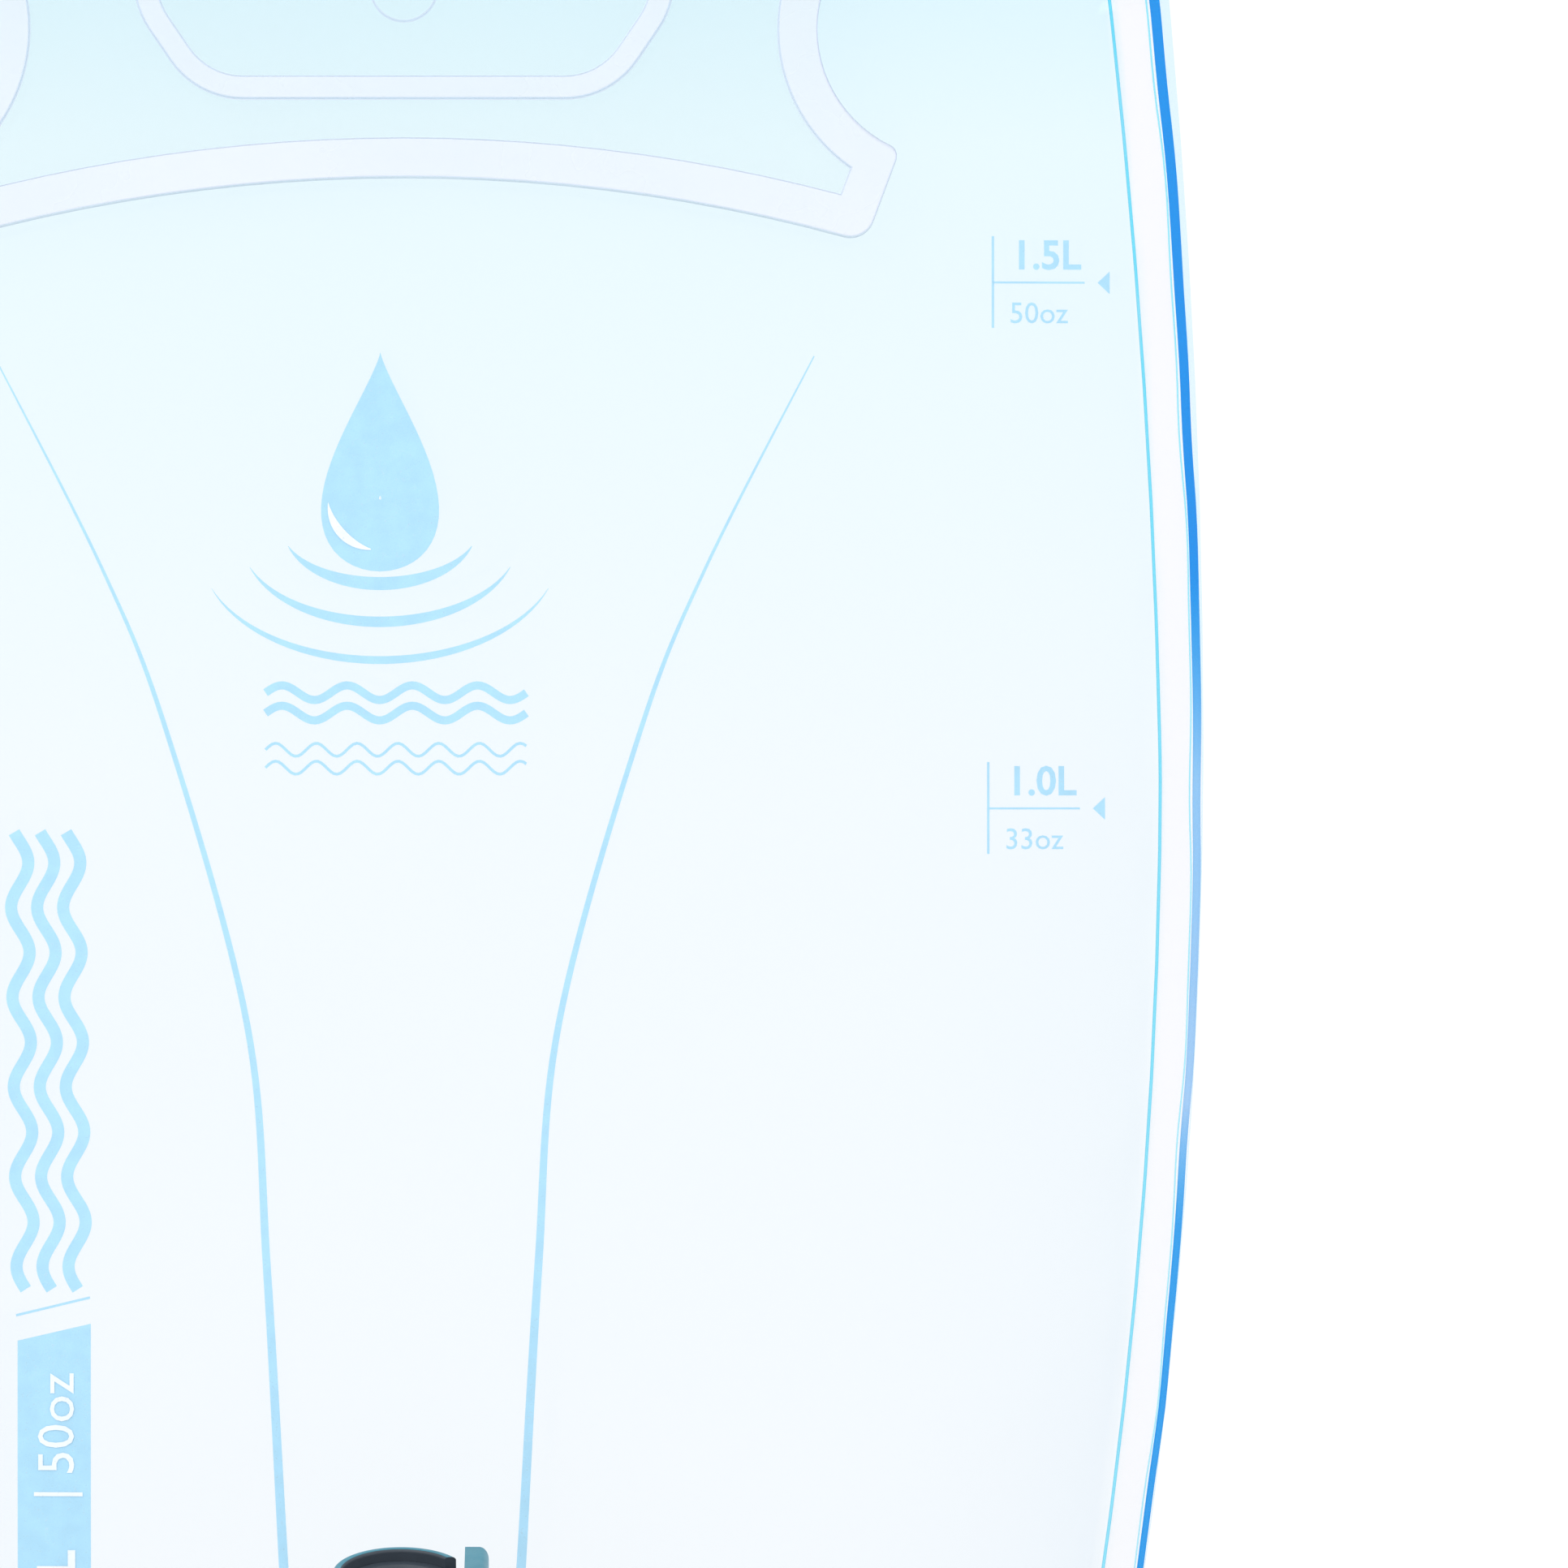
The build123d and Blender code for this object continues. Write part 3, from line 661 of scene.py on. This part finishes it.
squashed_spring("valve_spring")
squashed_spring("button_spring")


# ---------------------------------------------------------------- weld border
def inset(index, distance):
    """A point of the outline, moved in by a distance."""
    before = outline[max(index - 1, 0)]
    after = outline[min(index + 1, len(outline) - 1)]
    along = (after - before).normalized()
    return outline[index] + Vector((along.y, -along.x)) * distance


def border_strip(name, side, inner, outer, material, lift, crown, wobble=0.0):
    """A raised strip that follows the bag's outline between two insets, each a size by height."""
    points = []
    across = 5
    for i, place in enumerate(outline):
        start = along_edge(place.y, *outer)
        end = along_edge(place.y, *inner)
        sway = wobble * (sin(i * 0.37) + 0.6 * sin(i * 0.83 + 1))
        for share in steps(0, 1, across):
            moved = inset(i, start + (end - start) * share + sway)
            rise = lift + crown * sin(pi * share)
            points.append((moved.x, SEAM_Y + side * (FILM + rise), moved.y))
    return bag_piece(name, points, grid_faces(len(outline), across, side < 0), material)


# Insets of the strips from the cut edge: at the neck, the widest place, the bottom
FINE_IN = (3.1 * MM, 1.55 * MM, 1.15 * MM)
FINE_OUT = (2.85 * MM, 1.35 * MM, 0.95 * MM)
BLUE_IN = (2.6 * MM, 1.2 * MM, 0.8 * MM)
BLUE_OUT = (1.3 * MM, 0.2 * MM, 0.15 * MM)
LIP_OUT = (0.02 * MM, 0.02 * MM, 0.02 * MM)
for side, place in ((-1, "front"), (1, "back")):
    for name, inner, outer, finish, lift, crown, wobble in (
        ("weld_band_", CREASE_OUT, BLUE_IN, weld_highlight, 0.03 * MM, 0.12 * MM, 0),
        ("weld_crease_", CREASE_IN, CREASE_OUT, crease_cyan, 0.05 * MM, 0.3 * MM, 0),
        ("weld_edge_", BLUE_IN, BLUE_OUT, edge_blue, 0.06 * MM, 0.3 * MM, 0.08 * MM),
    ):
        border_strip(name + place, side, inner, outer, finish, lift, crown, wobble)
border_strip(
    "weld_edge_fine_line", -1, FINE_IN, FINE_OUT, crease_cyan, 0.1 * MM, 0.08 * MM, 0.16 * MM
)
border_strip("cut_edge_lip", -1, BLUE_OUT, LIP_OUT, lip_pale, 0.02 * MM, 0.06 * MM)

# ---------------------------------------------------------------- prints
film_surface = tree_of(front_film)
INK_LIFT = 0.12 * MM
SHINE_LIFT = 0.2 * MM
CAPTION_LIFT = 0.22 * MM


def on_film(x, z, lift=INK_LIFT):
    """A point just in front of the front film."""
    hit = film_surface.ray_cast(Vector((x, -1, z)), Vector((0, 1, 0)))[0]
    return Vector((x, hit.y - lift, z))


def print_strip(name, centre_line, widths, material=print_ink, lift=INK_LIFT):
    """A printed line of varying width along points (x, z)."""
    points = []
    for i, (x, z) in enumerate(centre_line):
        before = Vector(centre_line[max(i - 1, 0)])
        after = Vector(centre_line[min(i + 1, len(centre_line) - 1)])
        along = (after - before).normalized()
        across = Vector((-along.y, along.x)) * widths[i] / 2
        for side in (-1, 0, 1):
            points.append(on_film(x + side * across.x, z + side * across.y, lift))
    bag_piece(name, points, grid_faces(len(centre_line), 3), material)


def even_strip(name, centre_line, width, material=print_ink, lift=INK_LIFT):
    """A printed line of one width along points (x, z)."""
    print_strip(name, centre_line, [width] * len(centre_line), material, lift)


def curve_between(knots, count):
    """A smooth line through a few points (Catmull-Rom)."""
    padded = [knots[0]] + knots + [knots[-1]]
    line = []
    for i in range(len(knots) - 1):
        p0, p1, p2, p3 = (Vector(knot) for knot in padded[i : i + 4])
        slope = p2 - p0
        bend = 2 * p0 - 5 * p1 + 4 * p2 - p3
        twist = 3 * p1 - p0 - 3 * p2 + p3
        for k in range(count):
            t = k / count
            line.append(0.5 * (2 * p1 + slope * t + bend * t**2 + twist * t**3))
    line.append(Vector(knots[-1]))
    return [(place.x, place.y) for place in line]


def printed_text(name, words, size, x, z, turn=0.0, bold=0.0, material=print_ink, lift=INK_LIFT):
    """Plain lettering, laid on the film."""
    text = bpy.data.curves.new(name, "FONT")
    text.body = words
    text.size = size
    text.offset = bold
    text.resolution_u = 3
    holder = bpy.data.objects.new(name + "_text", text)
    bpy.context.collection.objects.link(holder)
    mesh = bpy.data.meshes.new_from_object(holder)
    bpy.data.objects.remove(holder)
    turned = Matrix.Rotation(turn, 4, "Z")
    for vertex in mesh.vertices:
        flat = turned @ vertex.co
        vertex.co = on_film(x + flat.x, z + flat.y, lift)
    mesh.materials.append(material)
    add_piece(name, mesh, "bag")


def graduation(name, litres, ounces, x, z):
    """A fill mark: upright bar, level line, two captions and an arrow."""
    bar = [(x, z + 5.7 * MM), (x, z - 5.6 * MM)]
    level = [(place, z) for place in steps(x, x + 11.3 * MM, 12)]
    even_strip(name + "_bar", bar, 0.3 * MM)
    even_strip(name + "_level", level, 0.25 * MM)
    printed_text(name + "_litres", litres, 5.0 * MM, x + 2.3 * MM, z + 1.7 * MM, bold=0.1 * MM)
    printed_text(name + "_ounces", ounces, 3.7 * MM, x + 2.0 * MM, z - 5.0 * MM)
    tip = x + 12.9 * MM
    back = tip + 1.5 * MM
    arrow = [(tip, z), (back, z - 1.4 * MM), (back, z + 1.4 * MM)]
    bag_piece(name + "_arrow", [on_film(*corner) for corner in arrow], [(0, 1, 2)], print_ink)


graduation("mark_1_5_litre", "1.5L", "50oz", 72.4 * MM, -68.9 * MM)
graduation("mark_1_litre", "1.0L", "33oz", 71.8 * MM, -133.6 * MM)


def printed_area(name, outlines):
    """A printed area, filled from one closed outline to the next."""
    points = [on_film(x, z) for loop in outlines for x, z in loop]
    count = len(outlines[0])
    faces = []
    for ring in range(len(outlines) - 1):
        for i in range(count):
            a = ring * count + i
            b = ring * count + (i + 1) % count
            faces.append((a, b, b + count, a + count))
    bag_piece(name, points, faces, print_ink)


def wave(x, z, length, swing, pitch, turn=0.0):
    """A wavy line from one place, as points (x, z)."""
    points = []
    count = round(length / (0.4 * MM))
    for along in steps(0, length, count + 1):
        off = swing * sin(2 * pi * along / pitch)
        across = along * cos(turn) - off * sin(turn)
        up = along * sin(turn) + off * cos(turn)
        points.append((x + across, z + up))
    return points


# Water drop with a shine on it, filled from its low middle outwards
DROP_X = -2.9 * MM
DROP_Z = -91 * MM
DROP_LOW_Z = DROP_Z - 4.5 * MM
DROP_POINTS = 60
drop = []
for i in range(DROP_POINTS):
    t = 2 * pi * i / DROP_POINTS
    drop.append((DROP_X + 10.5 * MM * sin(t) * sin(t / 2) ** 1.6, DROP_Z + 13.5 * MM * cos(t)))
rings = []
for share in (0.02, 0.35, 0.7, 1):
    ring = [(DROP_X + (x - DROP_X) * share, DROP_LOW_Z + (z - DROP_LOW_Z) * share) for x, z in drop]
    rings.append(ring)
printed_area("drop", rings)
SHINE_RADIUS = 6.4 * MM
shine = []
for degrees in range(185, 261, 5):
    angle = radians(degrees)
    shine.append((DROP_X + SHINE_RADIUS * cos(angle), DROP_LOW_Z + SHINE_RADIUS * sin(angle)))
shine_widths = [1.1 * MM * sin(pi * (i + 0.3) / len(shine)) for i in range(len(shine))]
print_strip("drop_shine", shine, shine_widths, print_clear, SHINE_LIFT)

# Three ripples under the drop, each wider, thinner and lower than the one before
for i in range(3):
    reach = (12 + 5 * i) * MM
    sag = (7 + 3.2 * i) * MM
    middle_z = DROP_Z - 8 * MM - 1.5 * i * MM
    width = 1.6 * MM * (1 - 0.2 * i)
    angles = [radians(degrees) for degrees in range(200, 341, 4)]
    arc = [(DROP_X + reach * cos(angle), middle_z + sag * sin(angle)) for angle in angles]
    widths = [width * sin(pi * (k + 0.4) / len(arc)) for k in range(len(arc))]
    print_strip(f"drop_ripple_{i + 1}", arc, widths)

# Two bold and two fine wavy lines below
for name, z, swing, pitch, width in (
    ("bold_wave_upper", -119.4 * MM, 0.9 * MM, 8 * MM, 1.0 * MM),
    ("bold_wave_lower", -121.9 * MM, 0.9 * MM, 8 * MM, 1.0 * MM),
    ("fine_wave_upper", -126.4 * MM, 0.8 * MM, 5 * MM, 0.35 * MM),
    ("fine_wave_lower", -128.6 * MM, 0.8 * MM, 5 * MM, 0.35 * MM),
):
    even_strip(name, wave(DROP_X - 14 * MM, z, 32 * MM, swing, pitch), width)

# Column up the left side: waves, a slash, and a block with the capacity
for i in range(3):
    x = (-46.2 + 3.2 * i) * MM
    column = wave(x, -192.5 * MM, 56 * MM, 1.1 * MM, 11 * MM, radians(91))
    even_strip(f"column_wave_{i + 1}", column, 1.5 * MM)
even_strip("column_slash", [(-47.4 * MM, -195.7 * MM), (-38.3 * MM, -193.5 * MM)], 0.3 * MM)
BLOCK_LEFT = -47.2 * MM
BLOCK_RIGHT = -38.2 * MM
BLOCK_TOP = -196.7 * MM
BLOCK_FOOT = -239 * MM
BLOCK_SLOPE = 2.1 * MM
BLOCK_ROWS = 15
BLOCK_COLUMNS = 6
block_points = []
for down in steps(0, 1, BLOCK_ROWS):
    for share in steps(0, 1, BLOCK_COLUMNS):
        x = BLOCK_LEFT + (BLOCK_RIGHT - BLOCK_LEFT) * share
        top = BLOCK_TOP - BLOCK_SLOPE * (1 - share)
        block_points.append(on_film(x, top + (BLOCK_FOOT - top) * down))
bag_piece("capacity_block", block_points, grid_faces(BLOCK_ROWS, BLOCK_COLUMNS), print_ink)
CAPTION_X = -40.3 * MM
CAPTION_SIZE = 6.4 * MM
for name, words, z, bold in (
    ("capacity_litres", "1.5L", -235.5 * MM, 0.18 * MM),
    ("capacity_ounces", "50oz", -215.3 * MM, 0.0),
):
    printed_text(name, words, CAPTION_SIZE, CAPTION_X, z, pi / 2, bold, print_clear, CAPTION_LIFT)
divider = [(-45.2 * MM, -217.6 * MM), (-39.2 * MM, -217.6 * MM)]
even_strip("capacity_divider", divider, 0.5 * MM, print_clear, CAPTION_LIFT)

# Two tapering lines that flank the middle
flank_knots = [
    (50.4 * MM, -78 * MM),
    (37.1 * MM, -104 * MM),
    (29.1 * MM, -124 * MM),
    (19.1 * MM, -160 * MM),
    (16.6 * MM, -190 * MM),
    (14.5 * MM, -227 * MM),
    (13.8 * MM, -236 * MM),
]
flank = curve_between(flank_knots, 14)
flank_widths = [(0.15 + 1.2 * share**0.9) * MM for share in steps(0, 1, len(flank))]
print_strip("flank_line_right", flank, flank_widths)
print_strip("flank_line_left", [(-x, z) for x, z in flank], flank_widths)

# ---------------------------------------------------------------- stage, light and camera
FLOOR_RADIUS = 1.4
FLOOR_SIDES = 64
FLOOR_Z = BOTTOM_Z - 12 * MM
floor_points = []
for i in range(FLOOR_SIDES):
    angle = 2 * pi * i / FLOOR_SIDES
    floor_points.append((FLOOR_RADIUS * cos(angle), FLOOR_RADIUS * sin(angle), FLOOR_Z))
floor_mesh = bpy.data.meshes.new("floor")
floor_mesh.from_pydata(floor_points, [], [tuple(range(FLOOR_SIDES))])
floor_mesh.materials.append(solid_plastic("pale_floor", (0.8, 0.81, 0.82), (0.82, 0.83, 0.84), 0.6))
floor = bpy.data.objects.new("floor", floor_mesh)
bpy.context.collection.objects.link(floor)

world = bpy.data.worlds.new("studio")
world.use_nodes = True
world.node_tree.nodes["Background"].inputs["Color"].default_value = (1, 1, 1, 1)
world.node_tree.nodes["Background"].inputs["Strength"].default_value = 1.05
bpy.context.scene.world = world
bpy.context.scene.view_settings.view_transform = "Standard"

# One square soft light, from the upper left in front
key_data = bpy.data.lights.new("key_light", "AREA")
key_data.size = 0.6
key_data.energy = 3
key_light = bpy.data.objects.new("key_light", key_data)
key_light.location = (-0.7, -0.9, 0.6)
bag_middle = Vector((0, 0, (NECK_Z + BOTTOM_Z) / 2))
key_light.rotation_euler = (bag_middle - key_light.location).to_track_quat("-Z", "Y").to_euler()
bpy.context.collection.objects.link(key_light)

# The camera looks straight at the bag from far off
FIELD_WIDTH = 193.2 * MM
FIELD_MIDDLE_X = 46.7 * MM
FIELD_MIDDLE_Z = -130.6 * MM
CAMERA_DISTANCE = 3.0
camera_data = bpy.data.cameras.new("camera")
camera_data.lens = camera_data.sensor_width * CAMERA_DISTANCE / FIELD_WIDTH
camera = bpy.data.objects.new("camera", camera_data)
camera.location = (FIELD_MIDDLE_X, -CAMERA_DISTANCE, FIELD_MIDDLE_Z)
camera.rotation_euler = (radians(90), 0, 0)
bpy.context.collection.objects.link(camera)
bpy.context.scene.camera = camera
